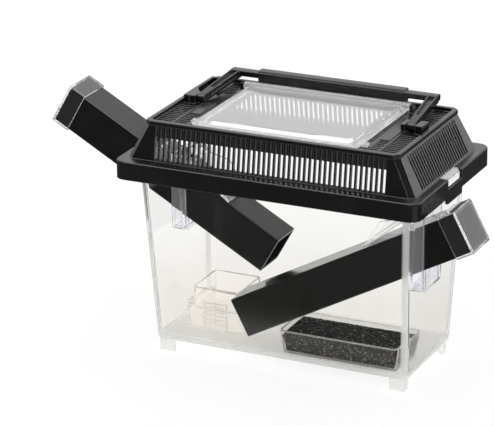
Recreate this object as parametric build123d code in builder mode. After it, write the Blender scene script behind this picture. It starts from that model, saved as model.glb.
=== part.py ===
"""Cricket keeper box: a clear tapered tank under a black vented lid, with two sloping square tubes.

Millimetres, +Z up. Origin: centre of the footprint on the plane of the four feet.
X runs along the long side, -Y is the front, and the two tube ports are in the end walls.
"""
import os
from math import atan2, cos, degrees, radians, sin, tan

from build123d import *

os.makedirs("parts", exist_ok=True)

# ---- lid ----
rim_length = 180.0
rim_width = 109.0
rim_corner = 7.0
rim_bottom = 107.8
rim_top = 118.2
lid_wall = 1.6
crown_foot_length = 169.8
crown_foot_width = 93.4
crown_top_length = 147.6
crown_top_width = 86.8
crown_hip = 3.0
lid_top = 140.5
border_width = 2.6
border_height = 2.4
border_overhang = 1.1
plate_drop = 2.1
plate_top = lid_top - plate_drop
slot_pitch = 2.985
slot_width = 1.85
groove_width = 1.3
slot_count = 46
slot_low = 119.2
slot_high = 131.7
groove_high = 138.8
groove_depth = 0.6
end_slot_width = 1.8
end_slot_count = 23
end_slot_high = 137.0
outer_vent_x = 66.7
outer_vent_length = 10.0
outer_vent_rows = 12
outer_vent_first = 7.5
inner_vent_x = 56.5
inner_vent_length = 5.8
inner_vent_rows = 7
inner_vent_first = 22.4
plate_rib_x = 60.7
tab_width = 21.0
tab_drop = 3.5

# ---- tank ----
foot_height = 7.5
tank_bottom_length = 152.0
tank_bottom_width = 66.0
tank_top_length = 160.8
tank_top_width = 86.4
tank_corner = 4.0
tank_wall = 1.8
floor_top = 9.5
flange_top = rim_top - lid_wall - 0.05
flange_thickness = 2.0
flange_gap = 0.5
lug_width = 19.0
lug_height = 2.1
lug_depth = 3.3
lug_x = 86.65

# ---- sloping tubes and their end ports ----
tube_side = 23.0
tube_wall = 1.2
tube_length = 148.7
lane = 18.0
port_x = 80.0
tube_under_port = 69.7
cap_wall = 1.05
cap_fit = 0.05
cap_overlap = 9.5
cap_end = 1.5
tilts = {"right": 28.1, "left": 29.4}
inner_ends = {"right": -119.4, "left": -64.7}
collar_inner_x = 75.0
collar_outer_x = 84.3
collar_width = 26.8
collar_bottom = 59.0
collar_top = 104.0
collar_wall = 1.5
collar_corner = 3.0
collar_seat_gap = 0.05
rib_offset = 9.0
rib_thickness = 1.2
hinge_x = 73.2
hinge_z = 100.0
flap_tip_x = 48.4
flap_tip_z = 80.2
flap_width = 23.0
flap_thickness = 1.4
ear_thickness = 1.5
cheek_peak_x = 58.5
cheek_peak_z = 96.5

# ---- feeding hatch in the lid ----
hatch_length = 99.0
hatch_front = -39.5
hatch_rear = 34.6
hatch_rear_bevel = 1.2
hatch_top = 142.0
hatch_wall = 1.4
opening_length = 86.0
opening_front = -34.0
opening_rear = 30.0
hatch_axis_y = 33.0
hatch_axis_z = 141.2
hatch_pin_radius = 1.0
hatch_barrel_radius = 2.2
hatch_barrel_length = 100.4
hatch_lug_x = 51.4
pan_inset = 4.4
pan_rear_inset = 1.2
pin_fit = 0.06

# ---- carrying handle ----
handle_axis_y = 2.0
handle_axis_z = 141.2
handle_pin_radius = 1.5
arm_width = 4.0
arm_width_at_bar = 5.8
arm_thickness = 4.4
arm_pivots = {1: 63.6, -1: 62.3}
arm_ends = {1: 61.0, -1: 58.6}
pin_spans = {1: (58.8, 69.2), -1: (60.4, 67.2)}
bar_y = 40.15
bar_z = 145.6
bar_depth = 5.7
bar_thickness = 3.6
grip_half_length = 44.5
grip_y = 40.9
grip_depth = 6.0
grip_thickness = 7.85
cheek_thickness = 2.4
cheek_length = 9.0
guard_top = 143.2
guard_front = -2.0
right_guard = (66.8, 71.2, 7.5)
left_guard_outer = 71.6
left_guard_inner = 64.6
left_guard_rear = 34.4
left_rail_inner = 69.9

# ---- loose pieces on the tank floor ----
tray_x = 34.0
tray_y = -13.4
tray_length = 71.5
tray_width = 32.5
tray_height = 13.8
tray_wall = 1.3
tray_draft = 1.9
pad_top_gap = 1.6
dish_x = -47.5
dish_y = 1.0
dish_length = 29.0
dish_width = 30.0
dish_rim = 34.0
dish_cup_floor = 22.0
dish_wall = 1.3
shelf_length = 5.0
shelf_top = 24.0
rung_pitch = 2.4
rung_count = 7


def tub_section(length, width, corner, z):
    """One rounded rectangle at height z."""
    with BuildSketch(Plane.XY.offset(z)) as section:
        RectangleRounded(length, width, corner)
    return section.sketch


def crown_section(length, width, hip, z):
    """One rectangle with cut-off hip corners at height z."""
    with BuildSketch(Plane.XY.offset(z)) as section:
        Rectangle(length, width)
        chamfer(section.vertices(), hip)
    return section.sketch


# ---- tank ----
wall_rise = flange_top - foot_height
inset_x = (tank_top_length - tank_bottom_length) * (floor_top - foot_height) / wall_rise
inset_y = (tank_top_width - tank_bottom_width) * (floor_top - foot_height) / wall_rise
flange_length = rim_length - 2 * (lid_wall + flange_gap)
flange_width = rim_width - 2 * (lid_wall + flange_gap)
foot_length = 8.8
foot_width = 5.4
foot_wall = 2.0
foot_inset = 1.75

with BuildPart() as tank:
    outside_low = tub_section(tank_bottom_length, tank_bottom_width, tank_corner, foot_height)
    outside_high = tub_section(tank_top_length, tank_top_width, tank_corner, flange_top)
    loft([outside_low, outside_high], ruled=True)
    fillet(tank.faces().sort_by(Axis.Z)[0].edges(), 1.6)
    with BuildSketch(Plane.XY.offset(flange_top)):
        RectangleRounded(flange_length, flange_width, rim_corner - lid_wall)
    extrude(amount=-flange_thickness)
    # the inside, cut as a second tapered solid
    inside_low = tub_section(
        tank_bottom_length + inset_x - 2 * tank_wall,
        tank_bottom_width + inset_y - 2 * tank_wall,
        tank_corner - 1.0,
        floor_top,
    )
    inside_high = tub_section(
        tank_top_length - 2 * tank_wall,
        tank_top_width - 2 * tank_wall,
        tank_corner - 1.0,
        flange_top,
    )
    loft([inside_low, inside_high], ruled=True, mode=Mode.SUBTRACT)
    # L-shaped corner feet
    with BuildSketch():
        with GridLocations(
            tank_bottom_length - foot_length - 2 * foot_inset,
            tank_bottom_width - foot_width - 2 * foot_inset,
            2,
            2,
        ):
            Rectangle(foot_length, foot_width)
        Rectangle(
            tank_bottom_length - 2 * foot_wall - 2 * foot_inset,
            tank_bottom_width - 2 * foot_wall - 2 * foot_inset,
            mode=Mode.SUBTRACT,
        )
    extrude(amount=foot_height + 1.2)
    # latch lugs that stand up through the notches in the lid's rim
    with BuildSketch(Plane.XY.offset(flange_top - flange_thickness)):
        with GridLocations(2 * lug_x, 0, 2, 1):
            Rectangle(lug_depth, lug_width)
    extrude(amount=flange_thickness + lug_height)
    lug_tops = tank.edges().filter_by(Axis.Y).group_by(Axis.Z)[-1].sort_by(Axis.X)
    chamfer([lug_tops[0], lug_tops[-1]], 1.2)
    # window for each port collar
    for side in (-1, 1):
        with BuildSketch(Plane.YZ) as window:
            with Locations((-side * lane, (collar_bottom + collar_top) / 2)):
                Rectangle(
                    collar_width + 2 * collar_seat_gap,
                    collar_top - collar_bottom + 2 * collar_seat_gap,
                )
            fillet(window.vertices().sort_by(Axis.Y)[:2], collar_corner)
        extrude(amount=side * port_x * 1.1, mode=Mode.SUBTRACT)
tank.part.label = "tank"
export_step(tank.part, "parts/tank.step")

# ---- lid ----
front_rise = lid_top - rim_top
front_lean = atan2((crown_foot_width - crown_top_width) / 2, front_rise)
end_lean = atan2((crown_foot_length - crown_top_length) / 2, front_rise)


def slope_height(z, lean):
    """Distance up a sloping crown wall that reaches height z."""
    return (z - rim_top) / cos(lean)


def slope_band(low, high, lean):
    """Centre and length, along the slope, of a band between two heights."""
    a = slope_height(low, lean)
    b = slope_height(high, lean)
    return (a + b) / 2, b - a


with BuildPart() as lid:
    with BuildSketch(Plane.XY.offset(rim_bottom)):
        RectangleRounded(rim_length, rim_width, rim_corner)
    extrude(amount=rim_top - rim_bottom)
    fillet(lid.faces().sort_by(Axis.Z)[-1].edges(), 0.8)
    crown_low = crown_section(crown_foot_length, crown_foot_width, crown_hip, rim_top)
    crown_high = crown_section(crown_top_length, crown_top_width, crown_hip, lid_top)
    loft([crown_low, crown_high], ruled=True)
    hips = [e for e in lid.edges() if e.length > lid_top - rim_top and e.center().Z > rim_top]
    fillet(hips, 1.2)
    # bead round the top, standing a little proud of the slopes
    with BuildSketch(Plane.XY.offset(lid_top - border_height)) as bead:
        Rectangle(crown_top_length + 2 * border_overhang, crown_top_width + 2 * border_overhang)
        chamfer(bead.vertices(), crown_hip)
    extrude(amount=border_height)
    fillet(lid.faces().sort_by(Axis.Z)[-1].edges(), 0.5)
    # sunken top plate inside the raised border
    with BuildSketch(Plane.XY.offset(lid_top)) as sunk:
        Rectangle(
            crown_top_length + 2 * border_overhang - 2 * border_width,
            crown_top_width + 2 * border_overhang - 2 * border_width,
        )
        chamfer(sunk.vertices(), crown_hip - 1.0)
    extrude(amount=-plate_drop, mode=Mode.SUBTRACT)
    # hollow under the rim, then hollow under the crown
    with BuildSketch(Plane.XY.offset(rim_bottom)):
        RectangleRounded(rim_length - 2 * lid_wall, rim_width - 2 * lid_wall, rim_corner - lid_wall)
    extrude(amount=rim_top - rim_bottom - lid_wall, mode=Mode.SUBTRACT)
    hollow_top = plate_top - lid_wall
    hollow_share = (hollow_top - rim_top) / front_rise
    hollow_low = crown_section(
        crown_foot_length - 2 * lid_wall,
        crown_foot_width - 2 * lid_wall,
        crown_hip - 0.8,
        rim_top - lid_wall - 0.5,
    )
    hollow_high = crown_section(
        crown_foot_length - hollow_share * (crown_foot_length - crown_top_length) - 2 * lid_wall,
        crown_foot_width - hollow_share * (crown_foot_width - crown_top_width) - 2 * lid_wall,
        crown_hip - 0.8,
        hollow_top,
    )
    loft([hollow_low, hollow_high], ruled=True, mode=Mode.SUBTRACT)
    # upright slots and shallow grooves in the long sloping sides
    for face in (-1, 1):
        slope = Plane(
            origin=(0, face * crown_foot_width / 2, rim_top),
            x_dir=(-face, 0, 0),
            z_dir=(0, face * cos(front_lean), sin(front_lean)),
        )
        centre, length = slope_band(slot_low, slot_high, front_lean)
        with BuildSketch(slope):
            with Locations((0, centre)):
                with GridLocations(slot_pitch, 1, slot_count, 1):
                    Rectangle(slot_width, length)
        extrude(amount=-2.5 * lid_wall, mode=Mode.SUBTRACT)
        centre, length = slope_band(slot_high, groove_high, front_lean)
        with BuildSketch(slope):
            with Locations((0, centre)):
                with GridLocations(slot_pitch, 1, slot_count, 1):
                    Rectangle(groove_width, length)
        extrude(amount=-groove_depth, mode=Mode.SUBTRACT)
    # slots in the two sloping ends
    for end in (-1, 1):
        slope = Plane(
            origin=(end * crown_foot_length / 2, 0, rim_top),
            x_dir=(0, end, 0),
            z_dir=(end * cos(end_lean), 0, sin(end_lean)),
        )
        centre, length = slope_band(slot_low, end_slot_high - 2.5, end_lean)
        with BuildSketch(slope):
            with Locations((0, centre)):
                with GridLocations(slot_pitch, 1, end_slot_count, 1):
                    Rectangle(end_slot_width, length)
        extrude(amount=-2.5 * lid_wall, mode=Mode.SUBTRACT)
        centre, length = slope_band(end_slot_high - 2.5, end_slot_high, end_lean)
        with BuildSketch(slope):
            with Locations((0, centre)):
                with GridLocations(slot_pitch, 1, end_slot_count, 1):
                    Rectangle(end_slot_width, length)
        extrude(amount=-groove_depth, mode=Mode.SUBTRACT)
    # hatch opening, and louvres beside it
    with BuildSketch(Plane.XY.offset(plate_top)):
        with Locations((0, (opening_front + opening_rear) / 2)):
            RectangleRounded(opening_length, opening_rear - opening_front, 3.0)
        outer_middle = outer_vent_first + (outer_vent_rows - 1) * slot_pitch / 2
        with GridLocations(2 * outer_vent_x, 2 * outer_middle, 2, 2):
            with GridLocations(1, slot_pitch, 1, outer_vent_rows):
                Rectangle(outer_vent_length, slot_width)
        inner_middle = inner_vent_first + (inner_vent_rows - 1) * slot_pitch / 2
        with GridLocations(2 * inner_vent_x, 2 * inner_middle, 2, 2):
            with GridLocations(1, slot_pitch, 1, inner_vent_rows):
                Rectangle(inner_vent_length, slot_width)
    extrude(amount=-2 * lid_wall, mode=Mode.SUBTRACT)
    # thin ribs between the louvres, and a smooth pad on each side of the hatch
    with BuildSketch(Plane.XY.offset(plate_top - 0.2)):
        with Locations((0, 30.0)):
            with GridLocations(2 * plate_rib_x, 1, 2, 1):
                Rectangle(1.2, 23.0)
        with Locations((0, -19.5)):
            with GridLocations(2 * plate_rib_x, 1, 2, 1):
                Rectangle(1.2, 44.0)
        with Locations((0, -8.5)):
            with GridLocations(2 * inner_vent_x, 1, 2, 1):
                Rectangle(inner_vent_length, 21.0)
    extrude(amount=1.0)
    # cheek and block that hold the right arm's pin
    inner_face = arm_pivots[1] - arm_width / 2 - 0.6
    block_inner, block_outer, block_rear = right_guard
    with BuildSketch(Plane.XY.offset(plate_top - 0.4)):
        with Locations((inner_face - cheek_thickness / 2, guard_front + cheek_length / 2)):
            Rectangle(cheek_thickness, cheek_length)
        with Locations(((block_inner + block_outer) / 2, (guard_front + block_rear) / 2)):
            Rectangle(block_outer - block_inner, block_rear - guard_front)
    extrude(amount=guard_top - plate_top + 0.4)
    # guard beside the left arm: a block for its pin, a thin rail behind and a return at its end
    with BuildSketch(Plane.XY.offset(plate_top - 0.4)):
        with BuildLine():
            Polyline(
                (-left_guard_outer, guard_front),
                (-68.7, guard_front),
                (-68.7, guard_front - 0.5),
                (-68.1, guard_front - 0.5),
                (-68.1, guard_front),
                (-left_guard_inner, guard_front),
                (-left_guard_inner, guard_front + 7.0),
                (-left_guard_inner - 1.8, guard_front + 8.6),
                (-left_rail_inner, guard_front + 14.5),
                (-left_rail_inner, left_guard_rear - 1.5),
                (-left_guard_inner - 1.8, left_guard_rear - 1.5),
                (-left_guard_inner - 1.8, left_guard_rear),
                (-left_guard_outer, left_guard_rear),
                close=True,
            )
        make_face()
    extrude(amount=guard_top - plate_top + 0.4)
    # hatch hinge lugs
    with BuildSketch(Plane.XY.offset(plate_top - 0.4)):
        with Locations((0, hatch_axis_y)):
            with GridLocations(2 * hatch_lug_x, 0, 2, 1):
                Rectangle(2.0, 4.4)
    extrude(amount=hatch_axis_z + 1.8 - plate_top + 0.4)
    with BuildSketch(Plane.YZ.offset(-hatch_lug_x - 1.2)):
        with Locations((hatch_axis_y, hatch_axis_z)):
            Circle(hatch_pin_radius + pin_fit)
    extrude(amount=2 * hatch_lug_x + 2.4, mode=Mode.SUBTRACT)
    # bores for the handle's stub pins, and room for its round eyes
    for side in (-1, 1):
        pin_start, pin_end = pin_spans[side]
        with BuildSketch(Plane.YZ.offset(side * (pin_start - 0.6))):
            with Locations((handle_axis_y, handle_axis_z)):
                Circle(handle_pin_radius + pin_fit)
        extrude(amount=side * (pin_end - pin_start + 0.8), mode=Mode.SUBTRACT)
        with BuildSketch(Plane.YZ.offset(side * arm_pivots[side])):
            with Locations((handle_axis_y, handle_axis_z)):
                Circle(arm_thickness / 2 + 0.9)
        extrude(amount=arm_width / 2 + 0.2, both=True, mode=Mode.SUBTRACT)
    # latch notch in each end of the rim, and the tab that hangs below it
    with BuildSketch(Plane.XY.offset(rim_top - 5.4)):
        with GridLocations(rim_length - 5.6, 0, 2, 1):
            Rectangle(5.7, lug_width + 1.2)
    extrude(amount=6.0, mode=Mode.SUBTRACT)
    with BuildSketch(Plane.XY.offset(rim_bottom + 0.5)):
        with GridLocations(rim_length - lid_wall, 0, 2, 1):
            Rectangle(lid_wall, tab_width)
    extrude(amount=-tab_drop - 0.5)
lid.part.label = "lid"
export_step(lid.part, "parts/lid.step")

# ---- feeding hatch ----
hatch_middle = (hatch_front + hatch_rear) / 2
hatch_depth = hatch_rear - hatch_front
flange_z = plate_top + 0.15
with BuildPart() as hatch:
    with BuildSketch(Plane.XY.offset(flange_z)):
        with Locations((0, hatch_middle)):
            RectangleRounded(hatch_length, hatch_depth, 3.0)
    extrude(amount=hatch_wall)
    # the rear edge is bevelled underneath, so that it turns clear of the plate
    bottom = hatch.faces().sort_by(Axis.Z)[0]
    chamfer(bottom.edges().sort_by(Axis.Y)[-1], hatch_rear_bevel)
    with BuildSketch(Plane.XY.offset(flange_z + hatch_wall)):
        with Locations((0, hatch_middle)):
            RectangleRounded(hatch_length - 2.0, hatch_depth - 2.0, 3.0)
    with BuildSketch(Plane.XY.offset(hatch_top)):
        with Locations((0, hatch_middle + (pan_inset - pan_rear_inset) / 2)):
            RectangleRounded(
                hatch_length - 2 * pan_inset,
                hatch_depth - pan_inset - pan_rear_inset,
                3.0,
            )
    loft(ruled=True)
    with BuildSketch(Plane.XY.offset(flange_z)):
        with Locations((0, hatch_middle + 1.4)):
            RectangleRounded(hatch_length - 10.0, hatch_depth - 7.2, 3.0)
    with BuildSketch(Plane.XY.offset(hatch_top - hatch_wall)):
        with Locations((0, hatch_middle + 2.3)):
            RectangleRounded(hatch_length - 15.0, hatch_depth - 10.4, 3.0)
    loft(ruled=True, mode=Mode.SUBTRACT)
    # finger tabs near the front, and a hinge barrel along the rear edge with a stub pin at each end
    with BuildSketch(Plane.XY.offset(flange_z)):
        with Locations((0, hatch_front + 8.5)):
            with GridLocations(hatch_length + 2.2, 0, 2, 1):
                Rectangle(3.0, 4.0)
    extrude(amount=hatch_wall)
    with BuildSketch(Plane.YZ):
        with Locations((hatch_axis_y, hatch_axis_z)):
            Circle(hatch_barrel_radius)
    extrude(amount=hatch_barrel_length / 2, both=True)
    with BuildSketch(Plane.YZ):
        with Locations((hatch_axis_y, hatch_axis_z)):
            Circle(hatch_pin_radius)
    extrude(amount=hatch_lug_x + 0.8, both=True)
hatch.part.label = "feeding_hatch"
export_step(hatch.part, "parts/feeding_hatch.step")

# ---- carrying handle ----
arm_run = bar_y - handle_axis_y
arm_rise = bar_z - handle_axis_z


def arm_width_at(share):
    """Width of an arm at a share of its length from the pivot to the bar."""
    return arm_width + share * (arm_width_at_bar - arm_width)


def arm_section(side, share, across, lift, width, height):
    """A rectangle across one arm, at a share of its length from the pivot to the bar."""
    station = Plane(
        origin=(
            side * (arm_pivots[side] + share * (arm_ends[side] - arm_pivots[side])),
            handle_axis_y + share * arm_run,
            handle_axis_z + share * arm_rise,
        ),
        x_dir=(1, 0, 0),
        z_dir=(0, -arm_run, -arm_rise),
    )
    with BuildSketch(station) as section:
        with Locations((side * across, lift)):
            Rectangle(width, height)
    return section.sketch


with BuildPart() as handle:
    for side in (-1, 1):
        pivot_end = arm_section(side, 0.0, 0.0, 0.0, arm_width, arm_thickness)
        bar_end = arm_section(side, 1.0, 0.0, 0.0, arm_width_at_bar, arm_thickness)
        loft([pivot_end, bar_end], ruled=True)
        # channels along the top and the inner face of the arm
        floor_lift = arm_thickness / 2 - 0.6
        top_start = arm_section(side, 0.28, 0.0, floor_lift, arm_width_at(0.28) - 1.8, 1.4)
        top_end = arm_section(side, 0.93, 0.0, floor_lift, arm_width_at(0.93) - 1.8, 1.4)
        loft([top_start, top_end], ruled=True, mode=Mode.SUBTRACT)
        side_start = arm_section(side, 0.16, 0.2 - arm_width_at(0.16) / 2, 0.0, 1.0, 1.2)
        side_end = arm_section(side, 0.86, 0.2 - arm_width_at(0.86) / 2, 0.0, 1.0, 1.2)
        loft([side_start, side_end], ruled=True, mode=Mode.SUBTRACT)
        with BuildSketch(Plane.YZ.offset(side * arm_pivots[side])):
            with Locations((handle_axis_y, handle_axis_z)):
                Circle(arm_thickness / 2)
        extrude(amount=arm_width / 2, both=True)
        pin_start, pin_end = pin_spans[side]
        with BuildSketch(Plane.YZ.offset(side * pin_start)):
            with Locations((handle_axis_y, handle_axis_z)):
                Circle(handle_pin_radius)
        extrude(amount=side * (pin_end - pin_start))
    bar_left = -arm_ends[-1] - arm_width_at_bar / 2
    bar_right = arm_ends[1] + arm_width_at_bar / 2
    bar_top = bar_z + arm_thickness / 2
    with BuildSketch(Plane.YZ.offset(bar_left)):
        with Locations((bar_y, bar_top - bar_thickness / 2)):
            RectangleRounded(bar_depth, bar_thickness, 1.0)
    extrude(amount=bar_right - bar_left)
    with BuildSketch(Plane.YZ):
        with Locations((grip_y, bar_top + 0.9 - grip_thickness / 2)):
            RectangleRounded(grip_depth, grip_thickness, 0.8)
    extrude(amount=grip_half_length, both=True)
handle.part.label = "handle"
export_step(handle.part, "parts/handle.step")

# ---- tubes, caps, port collars and flaps, one set at each end ----
for name, side in (("right", 1), ("left", -1)):
    tilt = radians(tilts[name])
    lane_y = -side * lane
    port_z = tube_under_port + tube_side / 2 / cos(tilt)
    axis = Plane(
        origin=(side * port_x, lane_y, port_z),
        x_dir=(0, 1, 0),
        z_dir=(side * cos(tilt), 0, sin(tilt)),
    )
    inner_end = inner_ends[name]
    outer_end = inner_end + tube_length

    with BuildPart() as tube:
        with BuildSketch(axis.offset(inner_end)):
            RectangleRounded(tube_side, tube_side, 1.0)
            RectangleRounded(tube_side - 2 * tube_wall, tube_side - 2 * tube_wall, 0.6, mode=Mode.SUBTRACT)
        extrude(amount=tube_length)
    tube.part.label = name + "_tube"
    export_step(tube.part, "parts/" + name + "_tube.step")

    cap_inside = tube_side + 2 * cap_fit
    with BuildPart() as cap:
        with BuildSketch(axis.offset(outer_end - cap_overlap)):
            RectangleRounded(cap_inside + 2 * cap_wall, cap_inside + 2 * cap_wall, 1.6)
        extrude(amount=cap_overlap + cap_end)
        outward = Axis((0, 0, 0), tuple(axis.z_dir))
        fillet(cap.faces().sort_by(outward)[-1].edges(), 1.1)
        with BuildSketch(axis.offset(outer_end - cap_overlap)):
            RectangleRounded(cap_inside, cap_inside, 1.0)
        extrude(amount=cap_overlap + 0.05, mode=Mode.SUBTRACT)
    cap.part.label = name + "_tube_cap"
    export_step(cap.part, "parts/" + name + "_tube_cap.step")

    collar_depth = collar_outer_x - collar_inner_x
    with BuildPart() as collar:
        with BuildSketch(Plane.YZ.offset(side * collar_inner_x)) as frame:
            with Locations((lane_y, (collar_bottom + collar_top) / 2)):
                Rectangle(collar_width, collar_top - collar_bottom)
            fillet(frame.vertices().sort_by(Axis.Y)[:2], collar_corner)
            with Locations((lane_y, (collar_bottom + collar_top) / 2)):
                Rectangle(
                    collar_width - 2 * collar_wall,
                    collar_top - collar_bottom - 2 * collar_wall,
                    mode=Mode.SUBTRACT,
                )
        extrude(amount=side * collar_depth)
        # two ribs carry the tube at its slope
        rib_foot = collar_bottom + collar_wall - 0.5
        for rib in (-1, 1):
            with BuildSketch(Plane.XZ.offset(-lane_y - rib * rib_offset)):
                with BuildLine():
                    Polyline(
                        (side * collar_inner_x, rib_foot),
                        (side * collar_outer_x, rib_foot),
                        (side * collar_outer_x, tube_under_port - 0.1 + (collar_outer_x - port_x) * tan(tilt)),
                        (side * collar_inner_x, tube_under_port - 0.1 + (collar_inner_x - port_x) * tan(tilt)),
                        close=True,
                    )
                make_face()
            extrude(amount=rib_thickness / 2, both=True)
        # ears that hold the flap's stub pins
        ear_y = collar_width / 2 - ear_thickness / 2
        for ear in (-1, 1):
            with BuildSketch(Plane.XZ.offset(-lane_y - ear * ear_y)):
                with Locations((side * (hinge_x + collar_inner_x) / 2, hinge_z)):
                    Rectangle(collar_inner_x - hinge_x + 4.0, 4.0)
            extrude(amount=ear_thickness / 2, both=True)
        with BuildSketch(Plane.XZ.offset(-lane_y)):
            with Locations((side * hinge_x, hinge_z)):
                Circle(0.9 + pin_fit)
        extrude(amount=collar_width, both=True, mode=Mode.SUBTRACT)
    collar.part.label = name + "_port_collar"
    export_step(collar.part, "parts/" + name + "_port_collar.step")

    fall = atan2(hinge_z - flap_tip_z, hinge_x - flap_tip_x)
    flap_length = (hinge_x - flap_tip_x) / cos(fall)
    flap_plane = Plane(
        origin=(side * hinge_x, lane_y, hinge_z),
        x_dir=(-side * cos(fall), 0, -sin(fall)),
        z_dir=(-side * sin(fall), 0, cos(fall)),
    )
    with BuildPart() as flap:
        with BuildSketch(flap_plane):
            with Locations((flap_length / 2, 0)):
                Rectangle(flap_length, flap_width)
        extrude(amount=flap_thickness / 2, both=True)
        with BuildSketch(Plane.XZ.offset(-lane_y)):
            with Locations((side * hinge_x, hinge_z)):
                Circle(1.5)
        extrude(amount=flap_width / 2, both=True)
        with BuildSketch(Plane.XZ.offset(-lane_y)):
            with Locations((side * hinge_x, hinge_z)):
                Circle(0.9)
        extrude(amount=collar_width / 2 - 0.2, both=True)
        # triangular side cheeks
        for cheek in (-1, 1):
            with BuildSketch(Plane.XZ.offset(-lane_y - cheek * (flap_width / 2 - 0.6))):
                with BuildLine():
                    Polyline(
                        (side * hinge_x, hinge_z),
                        (side * (flap_tip_x + 0.6), flap_tip_z + 0.5),
                        (side * cheek_peak_x, cheek_peak_z),
                        close=True,
                    )
                make_face()
            extrude(amount=0.6, both=True)
    flap.part.label = name + "_port_flap"
    export_step(flap.part, "parts/" + name + "_port_flap.step")

# ---- substrate tray and the dark pad in it ----
draft_angle = degrees(atan2(tray_draft, tray_height))
with BuildPart() as tray:
    with BuildSketch(Plane.XY.offset(floor_top)):
        with Locations((tray_x, tray_y)):
            RectangleRounded(tray_length - 2 * tray_draft, tray_width - 2 * tray_draft, 2.0)
    extrude(amount=tray_height, taper=-draft_angle)
    with BuildSketch(Plane.XY.offset(floor_top + tray_wall)):
        with Locations((tray_x, tray_y)):
            RectangleRounded(
                tray_length - 2 * tray_draft - 2 * tray_wall + 0.3,
                tray_width - 2 * tray_draft - 2 * tray_wall + 0.3,
                1.2,
            )
    extrude(amount=tray_height, taper=-draft_angle, mode=Mode.SUBTRACT)
tray.part.label = "substrate_tray"
export_step(tray.part, "parts/substrate_tray.step")

with BuildPart() as pad:
    with BuildSketch(Plane.XY.offset(floor_top + tray_wall + 0.05)):
        with Locations((tray_x, tray_y)):
            RectangleRounded(
                tray_length - 2 * tray_draft - 2 * tray_wall - 0.2,
                tray_width - 2 * tray_draft - 2 * tray_wall - 0.2,
                1.0,
            )
    extrude(amount=tray_height - tray_wall - pad_top_gap, taper=-draft_angle)
pad.part.label = "substrate_pad"
export_step(pad.part, "parts/substrate_pad.step")

# ---- food dish: a cup on a hollow stand with a ladder up its front ----
dish_height = dish_rim - floor_top
with BuildPart() as dish:
    with BuildSketch(Plane.XY.offset(floor_top)):
        with Locations((dish_x, dish_y)):
            RectangleRounded(dish_length, dish_width, 2.0)
    extrude(amount=dish_height)
    with BuildSketch(Plane.XY.offset(floor_top)):
        with Locations((dish_x - dish_length / 2, dish_y)):
            RectangleRounded(2 * shelf_length, dish_width - 4.0, 1.5)
    extrude(amount=shelf_top - floor_top)
    with BuildSketch(Plane.XY.offset(dish_rim)):
        with Locations((dish_x, dish_y)):
            RectangleRounded(dish_length - 2 * dish_wall, dish_width - 2 * dish_wall, 1.2)
    extrude(amount=dish_cup_floor - dish_rim, mode=Mode.SUBTRACT)
    with BuildSketch(Plane.XY.offset(floor_top)):
        with Locations((dish_x - shelf_length / 2, dish_y)):
            RectangleRounded(
                dish_length + shelf_length - 2 * dish_wall,
                dish_width - 4.0 - 2 * dish_wall,
                1.2,
            )
    extrude(amount=dish_cup_floor - dish_wall - floor_top, mode=Mode.SUBTRACT)
    front_y = dish_y - dish_width / 2
    for rung in range(rung_count):
        with BuildSketch(Plane.XZ.offset(-front_y)):
            with Locations((dish_x - 0.3, floor_top + 1.6 + rung * rung_pitch)):
                Rectangle(14.5, 0.9)
        extrude(amount=0.8)
    with BuildSketch(Plane.XZ.offset(-front_y)):
        with Locations((dish_x - 0.3, floor_top + 1.6 + (rung_count - 1) * rung_pitch / 2)):
            with GridLocations(7.0, 1, 3, 1):
                Rectangle(0.8, rung_count * rung_pitch)
    extrude(amount=0.8)
dish.part.label = "food_dish"
export_step(dish.part, "parts/food_dish.step")
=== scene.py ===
"""Dresses the cricket keeper box: clear moulded tank, black vented lid and tubes, clear hatch, caps and
flaps, dark bedding in its tray, plus the floor, lights and camera."""
import math

import bmesh
import bpy
from mathutils import Matrix, Vector, noise


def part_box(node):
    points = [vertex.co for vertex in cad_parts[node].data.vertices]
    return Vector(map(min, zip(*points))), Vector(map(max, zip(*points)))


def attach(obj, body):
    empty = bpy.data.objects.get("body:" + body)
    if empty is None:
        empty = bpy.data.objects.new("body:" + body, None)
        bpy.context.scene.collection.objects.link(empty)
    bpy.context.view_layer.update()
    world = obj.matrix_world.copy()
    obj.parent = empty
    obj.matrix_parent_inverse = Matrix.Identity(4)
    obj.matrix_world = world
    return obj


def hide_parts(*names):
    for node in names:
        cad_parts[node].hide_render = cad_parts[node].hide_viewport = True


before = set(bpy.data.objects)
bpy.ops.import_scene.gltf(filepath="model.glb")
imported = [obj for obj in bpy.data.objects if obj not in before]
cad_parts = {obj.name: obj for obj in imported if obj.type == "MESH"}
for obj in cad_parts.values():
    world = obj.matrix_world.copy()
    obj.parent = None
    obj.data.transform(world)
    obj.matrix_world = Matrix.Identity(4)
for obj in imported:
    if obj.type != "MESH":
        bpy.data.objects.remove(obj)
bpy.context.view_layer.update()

MM = 0.001


# ---------------------------------------------------------------------------
# small helpers for shader and geometry trees
# ---------------------------------------------------------------------------


def add_node(tree, kind, **settings):
    """Add a node of this kind and set its properties."""
    made = tree.nodes.new(kind)
    for key, value in settings.items():
        setattr(made, key, value)
    return made


def join(tree, source, target):
    """Link one output socket to one input socket."""
    tree.links.new(source, target)


def fill(tree, socket, value):
    """Set an input socket to a number, or link another socket to it."""
    if isinstance(value, (int, float)):
        socket.default_value = value
    else:
        join(tree, value, socket)


def maths(tree, operation, first, second=None, clamp=False):
    """A Math node whose inputs are sockets or numbers; returns its output."""
    made = add_node(tree, "ShaderNodeMath", operation=operation, use_clamp=clamp)
    fill(tree, made.inputs[0], first)
    if second is not None:
        fill(tree, made.inputs[1], second)
    return made.outputs[0]


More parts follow.
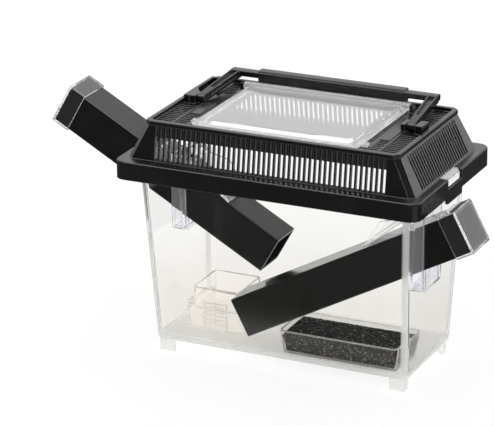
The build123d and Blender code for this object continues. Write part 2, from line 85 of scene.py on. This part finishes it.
def ramp_between(tree, value, start, end, at_start=0.0, at_end=1.0):
    """A smooth clamped ramp while the value goes from start to end, rising or falling; returns its output."""
    made = add_node(tree, "ShaderNodeMapRange", interpolation_type="SMOOTHSTEP")
    join(tree, value, made.inputs["Value"])
    for name, number in (("From Min", start), ("From Max", end), ("To Min", at_start), ("To Max", at_end)):
        made.inputs[name].default_value = number
    return made.outputs["Result"]


def split(tree, vector):
    """The X, Y and Z outputs of a vector socket."""
    made = add_node(tree, "ShaderNodeSeparateXYZ")
    join(tree, vector, made.inputs[0])
    return made.outputs


def object_place(tree):
    """The place on the object, in metres."""
    return add_node(tree, "ShaderNodeTexCoord").outputs["Object"]


def surface_normal(tree):
    """The direction that the surface faces."""
    return add_node(tree, "ShaderNodeNewGeometry").outputs["Normal"]


def noise_of(tree, place, scale, **settings):
    """A noise texture whose scale is a socket; returns its output."""
    made = add_node(tree, "ShaderNodeTexNoise")
    join(tree, place, made.inputs["Vector"])
    join(tree, scale, made.inputs["Scale"])
    for key, value in settings.items():
        made.inputs[key].default_value = value
    return made.outputs["Fac"]


def blend_colours(tree, factor, first, second):
    """A colour mix driven by a mask; each side is a socket or a colour; returns its output."""
    made = add_node(tree, "ShaderNodeMix", data_type="RGBA")
    join(tree, factor, made.inputs["Factor"])
    for slot, value in ((made.inputs["A"], first), (made.inputs["B"], second)):
        if isinstance(value, tuple):
            slot.default_value = (*value, 1.0)
        else:
            join(tree, value, slot)
    return made.outputs["Result"]


def plain_shader(tree, kind, colour):
    """A shader with one even colour; returns its output."""
    made = add_node(tree, kind)
    made.inputs["Color"].default_value = (*colour, 1.0)
    return made.outputs["BSDF"]


def mix_shaders(tree, factor, first, second):
    """A Mix Shader whose factor is a socket or a number; returns its output."""
    made = add_node(tree, "ShaderNodeMixShader")
    fill(tree, made.inputs["Fac"], factor)
    join(tree, first, made.inputs[1])
    join(tree, second, made.inputs[2])
    return made.outputs["Shader"]


def add_bump(tree, skin, height, strength, distance, normal=None):
    """Let a height tilt the shading of a Principled shader, on top of another normal if one is given."""
    bump = add_node(tree, "ShaderNodeBump")
    bump.inputs["Strength"].default_value = strength
    bump.inputs["Distance"].default_value = distance
    join(tree, height, bump.inputs["Height"])
    if normal:
        join(tree, normal, bump.inputs["Normal"])
    join(tree, bump.outputs["Normal"], skin.inputs["Normal"])


def new_group(name, inputs, outputs):
    """A shader node group whose inputs are numbers; returns its tree, its given sockets and its results."""
    tree = bpy.data.node_groups.new(name, "ShaderNodeTree")
    for label, value in inputs:
        socket = tree.interface.new_socket(label, in_out="INPUT", socket_type="NodeSocketFloat")
        socket.default_value = value
    for label, kind in outputs:
        tree.interface.new_socket(label, in_out="OUTPUT", socket_type=kind)
    given = tree.nodes.new("NodeGroupInput")
    results = tree.nodes.new("NodeGroupOutput")
    return tree, given.outputs, results.inputs


def place_group(tree, group, **values):
    """Put a node group in a material with its own values; names use _ for spaces. Returns its outputs."""
    made = tree.nodes.new("ShaderNodeGroup")
    made.node_tree = group
    for key, value in values.items():
        made.inputs[key.replace("_", " ")].default_value = value
    return made.outputs


def empty_tree(owner):
    """The node tree of a material or a world, with nothing in it."""
    owner.use_nodes = True
    owner.node_tree.nodes.clear()
    return owner.node_tree


def show_mesh(name, mesh):
    """A new object with this mesh, in the scene."""
    piece = bpy.data.objects.new(name, mesh)
    bpy.context.scene.collection.objects.link(piece)
    return piece


# ---------------------------------------------------------------------------
# effects that several finishes share
# ---------------------------------------------------------------------------


def build_moulded_skin():
    """Fine mould grain and slow flow marks: the flow alone, and both together as a height."""
    grain_share = 0.25
    tree, given, results = new_group(
        "moulded_skin",
        [("Grain Scale", 2600.0), ("Flow Scale", 18.0)],
        [("Flow", "NodeSocketFloat"), ("Height", "NodeSocketFloat")],
    )
    place = object_place(tree)
    grain = noise_of(tree, place, given["Grain Scale"], Detail=3.0)
    flow = noise_of(tree, place, given["Flow Scale"], Detail=2.0, Distortion=0.8)
    join(tree, flow, results["Flow"])
    height = maths(tree, "ADD", maths(tree, "MULTIPLY", grain, grain_share), flow)
    join(tree, height, results["Height"])
    return tree


def build_soft_edges():
    """Rounds the shading of sharp edges and masks them, for painted highlights along the arrises."""
    faint_turn, full_turn = 0.02, 0.25
    tree, given, results = new_group(
        "soft_edges",
        [("Radius", 0.4 * MM)],
        [("Edge", "NodeSocketFloat"), ("Normal", "NodeSocketVector")],
    )
    rounded = add_node(tree, "ShaderNodeBevel", samples=4)
    join(tree, given["Radius"], rounded.inputs["Radius"])
    cosine = add_node(tree, "ShaderNodeVectorMath", operation="DOT_PRODUCT")
    join(tree, rounded.outputs["Normal"], cosine.inputs[0])
    join(tree, surface_normal(tree), cosine.inputs[1])
    turned = maths(tree, "SUBTRACT", 1.0, cosine.outputs["Value"])
    join(tree, ramp_between(tree, turned, faint_turn, full_turn), results["Edge"])
    join(tree, rounded.outputs["Normal"], results["Normal"])
    return tree


def build_handling_marks():
    """Smudges from fingers and thin hairline scratches from cleaning."""
    smudge_from, smudge_full = 0.48, 0.72
    scratch_from, scratch_full = 0.66, 0.72
    scratch_turn = (0.4, 0.7, 0.5)
    scratch_stretch = (1.0, 14.0, 9.0)
    tree, given, results = new_group(
        "handling_marks",
        [("Smudge Scale", 45.0), ("Scratch Scale", 160.0)],
        [("Smudge", "NodeSocketFloat"), ("Scratch", "NodeSocketFloat")],
    )
    place = object_place(tree)
    smear = noise_of(tree, place, given["Smudge Scale"], Detail=5.0, Roughness=0.62)
    join(tree, ramp_between(tree, smear, smudge_from, smudge_full), results["Smudge"])
    stretched = add_node(tree, "ShaderNodeMapping")
    stretched.inputs["Rotation"].default_value = scratch_turn
    stretched.inputs["Scale"].default_value = scratch_stretch
    join(tree, place, stretched.inputs["Vector"])
    hairs = noise_of(tree, stretched.outputs["Vector"], given["Scratch Scale"], Detail=4.0)
    join(tree, ramp_between(tree, hairs, scratch_from, scratch_full), results["Scratch"])
    return tree


moulded_skin = build_moulded_skin()
soft_edges = build_soft_edges()
handling_marks = build_handling_marks()


# ---------------------------------------------------------------------------
# finishes
# ---------------------------------------------------------------------------


def start_material(name):
    """A node material with an unlinked output and a Principled shader."""
    made = bpy.data.materials.new(name)
    tree = empty_tree(made)
    out = add_node(tree, "ShaderNodeOutputMaterial")
    skin = add_node(tree, "ShaderNodeBsdfPrincipled")
    return made, tree, out, skin


def black_plastic(name, colour, dust_and_highlight, roughness, grain_depth, edge_radius):
    """Moulded black plastic with painted highlights along its edges and a paler top, partly a dusting and
    partly a painted sheen.
    """
    top_dust_and_sheen, least_dust_and_sheen = 0.16, 0.25
    finger_marks = 0.02
    edge_highlight = 0.8
    flow_change, smudge_change = 0.14, 0.08
    made, tree, out, skin = start_material(name)
    grain = place_group(tree, moulded_skin, Grain_Scale=2400.0, Flow_Scale=22.0)
    edges = place_group(tree, soft_edges, Radius=edge_radius)
    marks = place_group(tree, handling_marks)
    # upward faces are painted paler: partly a dusting, partly a painted sheen such as light from above gives
    upward = ramp_between(tree, split(tree, surface_normal(tree))["Z"], 0.7, 1.0)
    dust_and_sheen_on_top = maths(tree, "MULTIPLY", upward, top_dust_and_sheen)
    dust_and_sheen = maths(tree, "MULTIPLY", maths(tree, "ADD", marks["Smudge"], least_dust_and_sheen), dust_and_sheen_on_top)
    fingered = maths(tree, "MULTIPLY", marks["Smudge"], finger_marks)
    # painted highlight: the edges are painted towards the pale colour, as if they caught the light
    painted_edge_highlight = maths(tree, "MULTIPLY", edges["Edge"], edge_highlight)
    tone = maths(tree, "MAXIMUM", maths(tree, "ADD", dust_and_sheen, fingered), painted_edge_highlight, clamp=True)
    join(tree, blend_colours(tree, tone, colour, dust_and_highlight), skin.inputs["Base Color"])
    rough = maths(tree, "MULTIPLY", grain["Flow"], flow_change)
    rough = maths(tree, "ADD", rough, roughness - flow_change / 2)
    smeared = maths(tree, "MULTIPLY", marks["Smudge"], smudge_change)
    join(tree, maths(tree, "ADD", rough, smeared, clamp=True), skin.inputs["Roughness"])
    add_bump(tree, skin, grain["Height"], 0.35, grain_depth, edges["Normal"])
    skin.inputs["IOR"].default_value = 1.55
    join(tree, skin.outputs["BSDF"], out.inputs["Surface"])
    return made


def tank_pale_places(tree):
    """Where the tank's plastic turns pale: its base and feet, its latch lugs and its rounded corners.
    On the base, the feet and the rounded corners this is a painted highlight over the dark lines that bending
    light draws there.
    """
    clear_above, frosted_below = 12.5 * MM, 9.8 * MM
    lug_start, lug_full = 116.4 * MM, 117.2 * MM
    corner_start, corner_full = 0.12, 0.42
    base_highlight, lug_pale, corner_highlight = 0.62, 0.80, 0.55
    height = split(tree, object_place(tree))["Z"]
    base = ramp_between(tree, height, clear_above, frosted_below, 0.0, base_highlight)
    lug = ramp_between(tree, height, lug_start, lug_full, 0.0, lug_pale)
    way = split(tree, surface_normal(tree))
    turned = maths(tree, "ABSOLUTE", maths(tree, "MULTIPLY", way["X"], way["Y"]))
    corner = ramp_between(tree, turned, corner_start, corner_full, 0.0, corner_highlight)
    return maths(tree, "MAXIMUM", maths(tree, "MAXIMUM", base, lug), corner)


def low_tint_mask(tree, flow, most):
    """A mask that is strongest low on a wall and fades out upward, at most this strong and uneven with the
    flow marks.
    """
    tint_top, tint_full = 105.0 * MM, 15.0 * MM
    height = split(tree, object_place(tree))["Z"]
    low_down = ramp_between(tree, height, tint_top, tint_full, 0.0, most)
    uneven = maths(tree, "ADD", maths(tree, "MULTIPLY", flow, 0.5), 0.75)
    return maths(tree, "MULTIPLY", low_down, uneven, clamp=True)


def clear_plastic(
    name, tint, cloudy, shade, clear, bend, haze, glow, edge_radius, painted_glint, low_tint=0.0, pale_places=None
):
    """Clear moulded plastic with faint flow waves and smudges; it lets light through to what is inside.

    tint is its colour, cloudy its colour under smudges and shade the colour of its shadow. clear is 1 for
    glass-clear plastic and less for milky plastic, bend is its refractive index, haze is how rough the
    smudges make it and glow is a painted glow, a faint light of its own though it is no lamp. glint is a
    painted highlight: how pale the plastic is painted along its edges and where it is seen edge on. film is
    how much of a warmer, darker tint lies on the lower part, and frost builds a mask of further places
    that turn pale.
    """
    low_tint_colour = (0.88, 0.86, 0.82)
    milk = (0.97, 0.97, 0.965)
    least_rough, scratch_share = 0.01, 0.6
    edge_on_from, edge_on_share = 0.80, 0.7
    made, tree, out, skin = start_material(name)
    grain = place_group(tree, moulded_skin, Grain_Scale=700.0, Flow_Scale=14.0)
    marks = place_group(tree, handling_marks, Smudge_Scale=28.0)
    edges = place_group(tree, soft_edges, Radius=edge_radius)
    wiped = blend_colours(tree, marks["Smudge"], tint, cloudy)
    # the wall is tinted warmer and darker towards the bottom
    tinted_low = blend_colours(tree, low_tint_mask(tree, grain["Flow"], low_tint), wiped, low_tint_colour)
    join(tree, tinted_low, skin.inputs["Base Color"])
    smeared = maths(tree, "MULTIPLY", marks["Smudge"], haze)
    scratched = maths(tree, "MULTIPLY", marks["Scratch"], haze * scratch_share)
    rough = maths(tree, "ADD", maths(tree, "ADD", smeared, scratched), least_rough, clamp=True)
    join(tree, rough, skin.inputs["Roughness"])
    add_bump(tree, skin, grain["Height"], 0.05, 0.03 * MM)
    skin.inputs["Transmission Weight"].default_value = clear
    skin.inputs["IOR"].default_value = bend
    # painted glow: the plastic gives off a faint light of its own tint, though it is no lamp
    skin.inputs["Emission Color"].default_value = (*tint, 1.0)
    skin.inputs["Emission Strength"].default_value = glow
    # painted highlight: a milky white shader is mixed in along the edges, where the plastic is seen edge on,
    # and at the further pale places
    lit_through = plain_shader(tree, "ShaderNodeBsdfTranslucent", milk)
    milky = mix_shaders(tree, 0.5, lit_through, plain_shader(tree, "ShaderNodeBsdfDiffuse", milk))
    grazing = add_node(tree, "ShaderNodeLayerWeight")
    grazing.inputs["Blend"].default_value = 0.5
    edge_on = ramp_between(tree, grazing.outputs["Facing"], edge_on_from, 1.0, 0.0, edge_on_share * painted_glint)
    pale = maths(tree, "MAXIMUM", edge_on, maths(tree, "MULTIPLY", edges["Edge"], painted_glint))
    # on the tank the further pale places are its base, feet and rounded corners, where they are painted
    # highlight, and its latch lugs
    if pale_places:
        pale = maths(tree, "MAXIMUM", pale, pale_places(tree))
    dressed = mix_shaders(tree, pale, skin.outputs["BSDF"], milky)
    shadow = plain_shader(tree, "ShaderNodeBsdfTransparent", shade)
    casting = add_node(tree, "ShaderNodeLightPath").outputs["Is Shadow Ray"]
    join(tree, mix_shaders(tree, casting, dressed, shadow), out.inputs["Surface"])
    return made


def bedding_finish(name, dark, light, scale):
    """Matt dark bedding: dark grains with a few paler ones."""
    pale_from = 0.74
    smoothest, roughest = 0.72, 0.95
    made, tree, out, skin = start_material(name)
    cells = add_node(tree, "ShaderNodeTexVoronoi")
    cells.inputs["Scale"].default_value = scale
    join(tree, object_place(tree), cells.inputs["Vector"])
    drawn = add_node(tree, "ShaderNodeSeparateColor")
    join(tree, cells.outputs["Color"], drawn.inputs["Color"])
    pale = ramp_between(tree, drawn.outputs["Red"], pale_from, 1.0)
    join(tree, blend_colours(tree, pale, dark, light), skin.inputs["Base Color"])
    rough = ramp_between(tree, drawn.outputs["Green"], 0.0, 1.0, smoothest, roughest)
    join(tree, rough, skin.inputs["Roughness"])
    add_bump(tree, skin, cells.outputs["Distance"], 1.0, 0.5 * MM)
    join(tree, skin.outputs["BSDF"], out.inputs["Surface"])
    return made


lid_black = black_plastic(
    "lid_black",
    colour=(0.0045, 0.0048, 0.0042),
    dust_and_highlight=(0.14, 0.14, 0.13),
    roughness=0.22,
    grain_depth=0.06 * MM,
    edge_radius=0.8 * MM,
)
handle_black = black_plastic(
    "handle_black",
    colour=(0.0045, 0.0048, 0.0042),
    dust_and_highlight=(0.13, 0.13, 0.12),
    roughness=0.24,
    grain_depth=0.06 * MM,
    edge_radius=0.8 * MM,
)
tube_black = black_plastic(
    "tube_black",
    colour=(0.0040, 0.0055, 0.0040),
    dust_and_highlight=(0.14, 0.14, 0.13),
    roughness=0.12,
    grain_depth=0.03 * MM,
    edge_radius=0.7 * MM,
)
tank_clear = clear_plastic(
    "tank_clear",
    tint=(0.99, 0.99, 0.985),
    cloudy=(0.97, 0.97, 0.96),
    shade=(0.95, 0.95, 0.945),
    clear=1.0,
    bend=1.22,
    haze=0.03,
    glow=0.0,
    edge_radius=0.5 * MM,
    painted_glint=0.5,
    low_tint=0.55,
    pale_places=tank_pale_places,
)
hatch_clear = clear_plastic(
    "hatch_clear",
    tint=(0.98, 0.98, 0.975),
    cloudy=(0.96, 0.96, 0.955),
    shade=(0.86, 0.86, 0.86),
    clear=0.76,
    bend=1.46,
    haze=0.03,
    glow=0.03,
    edge_radius=0.7 * MM,
    painted_glint=0.8,
)
cap_clear = clear_plastic(
    "cap_clear",
    tint=(0.98, 0.99, 0.985),
    cloudy=(0.95, 0.96, 0.955),
    shade=(0.94, 0.95, 0.945),
    clear=1.0,
    bend=1.40,
    haze=0.02,
    glow=0.0,
    edge_radius=0.4 * MM,
    painted_glint=0.8,
)
port_clear = clear_plastic(
    "port_clear",
    tint=(0.95, 0.95, 0.985),
    cloudy=(0.93, 0.93, 0.96),
    shade=(0.94, 0.94, 0.95),
    clear=0.95,
    bend=1.33,
    haze=0.04,
    glow=0.02,
    edge_radius=0.4 * MM,
    painted_glint=0.5,
)
flap_clear = clear_plastic(
    "flap_clear",
    tint=(0.98, 0.99, 0.985),
    cloudy=(0.95, 0.96, 0.955),
    shade=(0.94, 0.95, 0.945),
    clear=0.93,
    bend=1.40,
    haze=0.04,
    glow=0.03,
    edge_radius=0.4 * MM,
    painted_glint=0.7,
)
tray_clear = clear_plastic(
    "tray_clear",
    tint=(0.98, 0.98, 0.97),
    cloudy=(0.95, 0.95, 0.94),
    shade=(0.95, 0.95, 0.94),
    clear=1.0,
    bend=1.30,
    haze=0.03,
    glow=0.0,
    edge_radius=1.4 * MM,
    painted_glint=1.0,
)
dish_clear = clear_plastic(
    "dish_clear",
    tint=(0.985, 0.970, 0.955),
    cloudy=(0.96, 0.94, 0.92),
    shade=(0.95, 0.93, 0.91),
    clear=0.93,
    bend=1.33,
    haze=0.04,
    glow=0.03,
    edge_radius=0.7 * MM,
    painted_glint=0.8,
)
bedding_dark = bedding_finish("bedding_dark", (0.006, 0.006, 0.006), (0.30, 0.28, 0.25), scale=1150.0)

finish_of = {
    "tank": tank_clear,
    "lid": lid_black,
    "handle": handle_black,
    "feeding_hatch": hatch_clear,
    "substrate_tray": tray_clear,
    "food_dish": dish_clear,
}
for end in ("right", "left"):
    finish_of[f"{end}_tube"] = tube_black
    finish_of[f"{end}_tube_cap"] = cap_clear
    finish_of[f"{end}_port_collar"] = port_clear
    finish_of[f"{end}_port_flap"] = flap_clear
for node_name, finish in finish_of.items():
    node_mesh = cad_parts[node_name].data
    node_mesh.materials.clear()
    node_mesh.materials.append(finish)


# ---------------------------------------------------------------------------
# bedding: an uneven dark layer with loose crumbs on it
# ---------------------------------------------------------------------------

bedding_cells = (66, 27)
bedding_rows_down = 4
bedding_taper = 1.6 * MM
bedding_inset = 0.2 * MM
bedding_settled = 0.9 * MM
bedding_side_loss = 0.95 * MM
bedding_least_gap = 0.3 * MM
bedding_rim_share = 0.05
bedding_side_weight = 0.45
crumbs_per_area = 2600000.0
crumb_radius = 0.36 * MM


def bedding_height(x, y, u, v, top):
    """The height of the bedding's top at one point; it lies flat along its rim."""
    from_rim = min(u, 1 - u, bedding_side_weight * v, bedding_side_weight * (1 - v))
    settle = min(1.0, from_rim / bedding_rim_share)
    broad = noise.noise(Vector((x, y, 0.3)) * 95.0) * 0.9
    fine = noise.noise(Vector((x, y, 0.9)) * 420.0) * 0.35
    height = top - bedding_settled + settle * (0.25 + 0.55 * (broad + fine)) * MM
    return min(height, top - bedding_least_gap)


def build_bedding():
    """The layer itself, inside the space of the pad, with a gently uneven top."""
    low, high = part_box("substrate_pad")
    across, deep = bedding_cells
    shape = bmesh.new()
    points = []
    for i in range(across + 1):
        for j in range(deep + 1):
            u, v = i / across, j / deep
            x = low.x + bedding_inset + u * (high.x - low.x - 2 * bedding_inset)
            y = low.y + bedding_inset + v * (high.y - low.y - 2 * bedding_inset)
            points.append(shape.verts.new((x, y, bedding_height(x, y, u, v, high.z))))
    row = deep + 1
    for i in range(across):
        for j in range(deep):
            a = i * row + j
            shape.faces.new((points[a], points[a + row], points[a + row + 1], points[a + 1]))
    rim = [edge for edge in shape.edges if edge.is_boundary]
    depth = high.z - low.z
    middle = (low + high) / 2
    narrower = bedding_taper / bedding_rows_down
    for step in range(bedding_rows_down):
        grown = bmesh.ops.extrude_edge_only(shape, edges=rim)["geom"]
        moved = [part for part in grown if isinstance(part, bmesh.types.BMVert)]
        rim = [part for part in grown if isinstance(part, bmesh.types.BMEdge) and part.is_boundary]
        share = (step + 1) / bedding_rows_down
        for vert in moved:
            vert.co.z = high.z - bedding_settled - share * (depth - bedding_side_loss)
            vert.co.x += math.copysign(narrower, middle.x - vert.co.x)
            vert.co.y += math.copysign(narrower, middle.y - vert.co.y)
    bmesh.ops.contextual_create(shape, geom=rim)
    bmesh.ops.recalc_face_normals(shape, faces=shape.faces)
    mesh = bpy.data.meshes.new("bedding")
    shape.to_mesh(mesh)
    shape.free()
    for face in mesh.polygons:
        face.use_smooth = True
    mesh.materials.append(bedding_dark)
    return show_mesh("bedding", mesh)


def crumb_tree():
    """Geometry nodes: small crumbs scattered over the upward faces of a layer."""
    full_turn = 6.28
    tree = bpy.data.node_groups.new("scatter_crumbs", "GeometryNodeTree")
    for label, kind in (
        ("Layer", "NodeSocketGeometry"),
        ("Crumbs Per Area", "NodeSocketFloat"),
        ("Crumb Radius", "NodeSocketFloat"),
        ("Seed", "NodeSocketInt"),
        ("Finish", "NodeSocketMaterial"),
    ):
        tree.interface.new_socket(label, in_out="INPUT", socket_type=kind)
    tree.interface.new_socket("Crumbs", in_out="OUTPUT", socket_type="NodeSocketGeometry")
    given = tree.nodes.new("NodeGroupInput").outputs
    results = tree.nodes.new("NodeGroupOutput").inputs
    facing = add_node(tree, "GeometryNodeInputNormal")
    top_only = add_node(tree, "FunctionNodeCompare", operation="GREATER_THAN")
    join(tree, split(tree, facing.outputs[0])["Z"], top_only.inputs[0])
    top_only.inputs[1].default_value = 0.5
    spread = add_node(tree, "GeometryNodeDistributePointsOnFaces")
    join(tree, given["Layer"], spread.inputs["Mesh"])
    join(tree, top_only.outputs[0], spread.inputs["Selection"])
    join(tree, given["Crumbs Per Area"], spread.inputs["Density"])
    join(tree, given["Seed"], spread.inputs["Seed"])
    crumb = add_node(tree, "GeometryNodeMeshIcoSphere")
    crumb.inputs["Subdivisions"].default_value = 1
    join(tree, given["Crumb Radius"], crumb.inputs["Radius"])
    turn = add_node(tree, "FunctionNodeRandomValue", data_type="FLOAT_VECTOR")
    turn.inputs["Max"].default_value = (full_turn, full_turn, full_turn)
    join(tree, given["Seed"], turn.inputs["Seed"])
    size = add_node(tree, "FunctionNodeRandomValue", data_type="FLOAT_VECTOR")
    size.inputs["Min"].default_value = (0.5, 0.4, 0.4)
    size.inputs["Max"].default_value = (1.5, 1.1, 1.0)
    join(tree, given["Seed"], size.inputs["Seed"])
    stand = add_node(tree, "GeometryNodeInstanceOnPoints")
    join(tree, spread.outputs["Points"], stand.inputs["Points"])
    join(tree, crumb.outputs["Mesh"], stand.inputs["Instance"])
    join(tree, turn.outputs["Value"], stand.inputs["Rotation"])
    join(tree, size.outputs["Value"], stand.inputs["Scale"])
    real = add_node(tree, "GeometryNodeRealizeInstances")
    join(tree, stand.outputs["Instances"], real.inputs["Geometry"])
    paint = add_node(tree, "GeometryNodeSetMaterial")
    join(tree, real.outputs["Geometry"], paint.inputs["Geometry"])
    join(tree, given["Finish"], paint.inputs["Material"])
    join(tree, paint.outputs["Geometry"], results["Crumbs"])
    return tree


def bake_tree(name, base, tree, values):
    """Run a geometry node tree on a base mesh and keep the result as a plain mesh piece."""
    carrier = show_mesh(name + "_source", base)
    modifier = carrier.modifiers.new("tree", "NODES")
    modifier.node_group = tree
    ids = {item.name: item.identifier for item in tree.interface.items_tree if item.in_out == "INPUT"}
    for label, value in values.items():
        modifier[ids[label]] = value
    graph = bpy.context.evaluated_depsgraph_get()
    graph.update()
    mesh = bpy.data.meshes.new_from_object(carrier.evaluated_get(graph), depsgraph=graph)
    carrier.modifiers.clear()
    bpy.data.objects.remove(carrier)
    mesh.name = name
    return show_mesh(name, mesh)


bedding = build_bedding()
crumbs = bake_tree(
    "bedding_crumbs",
    bedding.data,
    crumb_tree(),
    {"Crumbs Per Area": crumbs_per_area, "Crumb Radius": crumb_radius, "Seed": 7, "Finish": bedding_dark},
)
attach(bedding, "base")
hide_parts("substrate_pad")
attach(crumbs, "base")


# ---------------------------------------------------------------------------
# floor, light and camera
# ---------------------------------------------------------------------------

floor_reach = 6.0
floor_colour = (0.36, 0.36, 0.357)
floor_glow = 0.74
floor_mirrored, strip_mirrored = 0.10, 0.5
near_floor_darkening, front_sky_darkening = 0.9, 0.92
sky_open = 1.02
sky_front_mirrored, sky_rear_mirrored, sky_right_mirrored = 0.12, 1.25, 0.95

camera_around, camera_above, camera_roll = 25.22, 20.08, -0.45
camera_place = (0.6354, -1.4219, 0.6521)
camera_lens, camera_sensor = 217.8, 36.0
camera_near, camera_far = 0.05, 50.0


def mirrored_only(tree):
    """1 where the scene is seen as a reflection, 0 where it is seen directly or through clear plastic."""
    path = add_node(tree, "ShaderNodeLightPath")
    direct = maths(tree, "SUBTRACT", 1.0, path.outputs["Is Transmission Ray"])
    return maths(tree, "MULTIPLY", path.outputs["Is Glossy Ray"], direct)


def refracted_only(tree):
    """1 where the scene is seen through clear plastic."""
    return add_node(tree, "ShaderNodeLightPath").outputs["Is Transmission Ray"]


def light_strip(tree, place):
    """A mask of one soft-edged oblong of the floor, in front of the part and to the right."""
    mask = ramp_between(tree, place["X"], 0.26, 0.32)
    for side in (
        ramp_between(tree, place["Y"], -0.42, -0.34),
        ramp_between(tree, place["Y"], -0.02, -0.10),
        ramp_between(tree, place["X"], 0.62, 0.52),
    ):
        mask = maths(tree, "MULTIPLY", mask, side)
    return mask


def floor_material():
    """White floor. It is dark in reflections, apart from one light strip, and in front through plastic."""
    made = bpy.data.materials.new("studio_floor")
    tree = empty_tree(made)
    out = add_node(tree, "ShaderNodeOutputMaterial")
    glow = add_node(tree, "ShaderNodeEmission")
    glow.inputs["Strength"].default_value = floor_glow
    white = add_node(tree, "ShaderNodeAddShader")
    join(tree, plain_shader(tree, "ShaderNodeBsdfDiffuse", floor_colour), white.inputs[0])
    join(tree, glow.outputs["Emission"], white.inputs[1])
    place = split(tree, object_place(tree))
    strip = maths(tree, "MULTIPLY", light_strip(tree, place), strip_mirrored)
    mirrored = add_node(tree, "ShaderNodeEmission")
    join(tree, maths(tree, "ADD", strip, floor_mirrored), mirrored.inputs["Strength"])
    near = maths(tree, "MULTIPLY", ramp_between(tree, place["Y"], -0.075, -0.10), refracted_only(tree))
    near = maths(tree, "MULTIPLY", near, near_floor_darkening)
    dark = maths(tree, "MAXIMUM", mirrored_only(tree), near)
    shown = mix_shaders(tree, dark, white.outputs["Shader"], mirrored.outputs["Emission"])
    join(tree, shown, out.inputs["Surface"])
    return made


def build_floor():
    """A wide level floor under the part's feet."""
    shape = bmesh.new()
    bmesh.ops.create_grid(shape, x_segments=1, y_segments=1, size=floor_reach)
    mesh = bpy.data.meshes.new("floor")
    shape.to_mesh(mesh)
    shape.free()
    mesh.materials.append(floor_material())
    piece = show_mesh("floor", mesh)


def build_sky():
    """Soft even light all round. Reflections of it are dark in front, bright behind and to the right."""
    world = bpy.data.worlds.new("studio")
    bpy.context.scene.world = world
    tree = empty_tree(world)
    out = add_node(tree, "ShaderNodeOutputWorld")
    dome = add_node(tree, "ShaderNodeBackground")
    way = split(tree, add_node(tree, "ShaderNodeTexCoord").outputs["Generated"])
    rear = ramp_between(tree, way["Y"], -0.15, 0.25, sky_front_mirrored, sky_rear_mirrored)
    right = ramp_between(tree, way["X"], 0.32, 0.58, 0.0, sky_right_mirrored)
    right = maths(tree, "MULTIPLY", right, ramp_between(tree, way["Y"], -0.30, 0.05))
    mirrored = maths(tree, "ADD", rear, right)
    front = maths(tree, "MULTIPLY", ramp_between(tree, way["Y"], 0.0, -0.3), refracted_only(tree))
    front = maths(tree, "MULTIPLY", front, front_sky_darkening)
    dark = maths(tree, "MAXIMUM", mirrored_only(tree), front)
    plain = maths(tree, "MULTIPLY", maths(tree, "SUBTRACT", 1.0, dark), sky_open)
    level = maths(tree, "ADD", maths(tree, "MULTIPLY", mirrored, dark), plain)
    join(tree, level, dome.inputs["Strength"])
    join(tree, dome.outputs["Background"], out.inputs["Surface"])


def add_panel(name, place, target, size, power):
    """A soft rectangular light that is seen only in reflections."""
    data = bpy.data.lights.new(name, "AREA")
    data.shape = "RECTANGLE"
    data.size, data.size_y = size
    data.energy = power
    lamp = bpy.data.objects.new(name, data)
    bpy.context.scene.collection.objects.link(lamp)
    lamp.location = place
    lamp.rotation_mode = "QUATERNION"
    lamp.rotation_quaternion = (Vector(target) - Vector(place)).to_track_quat("-Z", "Y")
    lamp.visible_camera = False
    lamp.visible_transmission = False
    lamp.visible_diffuse = False


def build_camera():
    """The camera, at 25 degrees round to the right and 20 degrees above the floor."""
    around, above, roll = (math.radians(angle) for angle in (camera_around, camera_above, camera_roll))
    back = Vector((math.sin(around) * math.cos(above), -math.cos(around) * math.cos(above), math.sin(above)))
    right = Vector((math.cos(around), math.sin(around), 0.0))
    up = back.cross(right)
    across = right * math.cos(roll) + up * math.sin(roll)
    upright = back.cross(across)
    data = bpy.data.cameras.new("camera")
    data.lens = camera_lens
    data.sensor_width = camera_sensor
    data.clip_start, data.clip_end = camera_near, camera_far
    camera = bpy.data.objects.new("camera", data)
    bpy.context.scene.collection.objects.link(camera)
    turned = Matrix((across, upright, back)).transposed().to_4x4()
    camera.matrix_world = Matrix.Translation(camera_place) @ turned
    bpy.context.scene.camera = camera


build_floor()
build_sky()
add_panel("overhead_panel", (-0.12, -0.25, 1.1), (-0.12, -0.25, 0.1), size=(1.3, 1.1), power=15.0)
add_panel("front_panel", (0.36, -0.95, 0.22), (0, 0, 0.12), size=(0.07, 0.40), power=1.2)
add_panel("side_panel", (0.98, 0.26, 0.33), (0, 0, 0.12), size=(0.10, 0.45), power=2.0)
build_camera()
bpy.context.scene.view_settings.view_transform = "Standard"

# clear walls stand one behind another, so light has to pass many of them
cycles = bpy.context.scene.cycles
cycles.max_bounces = 24
cycles.glossy_bounces = 14
cycles.transmission_bounces = 24
cycles.transparent_max_bounces = 24
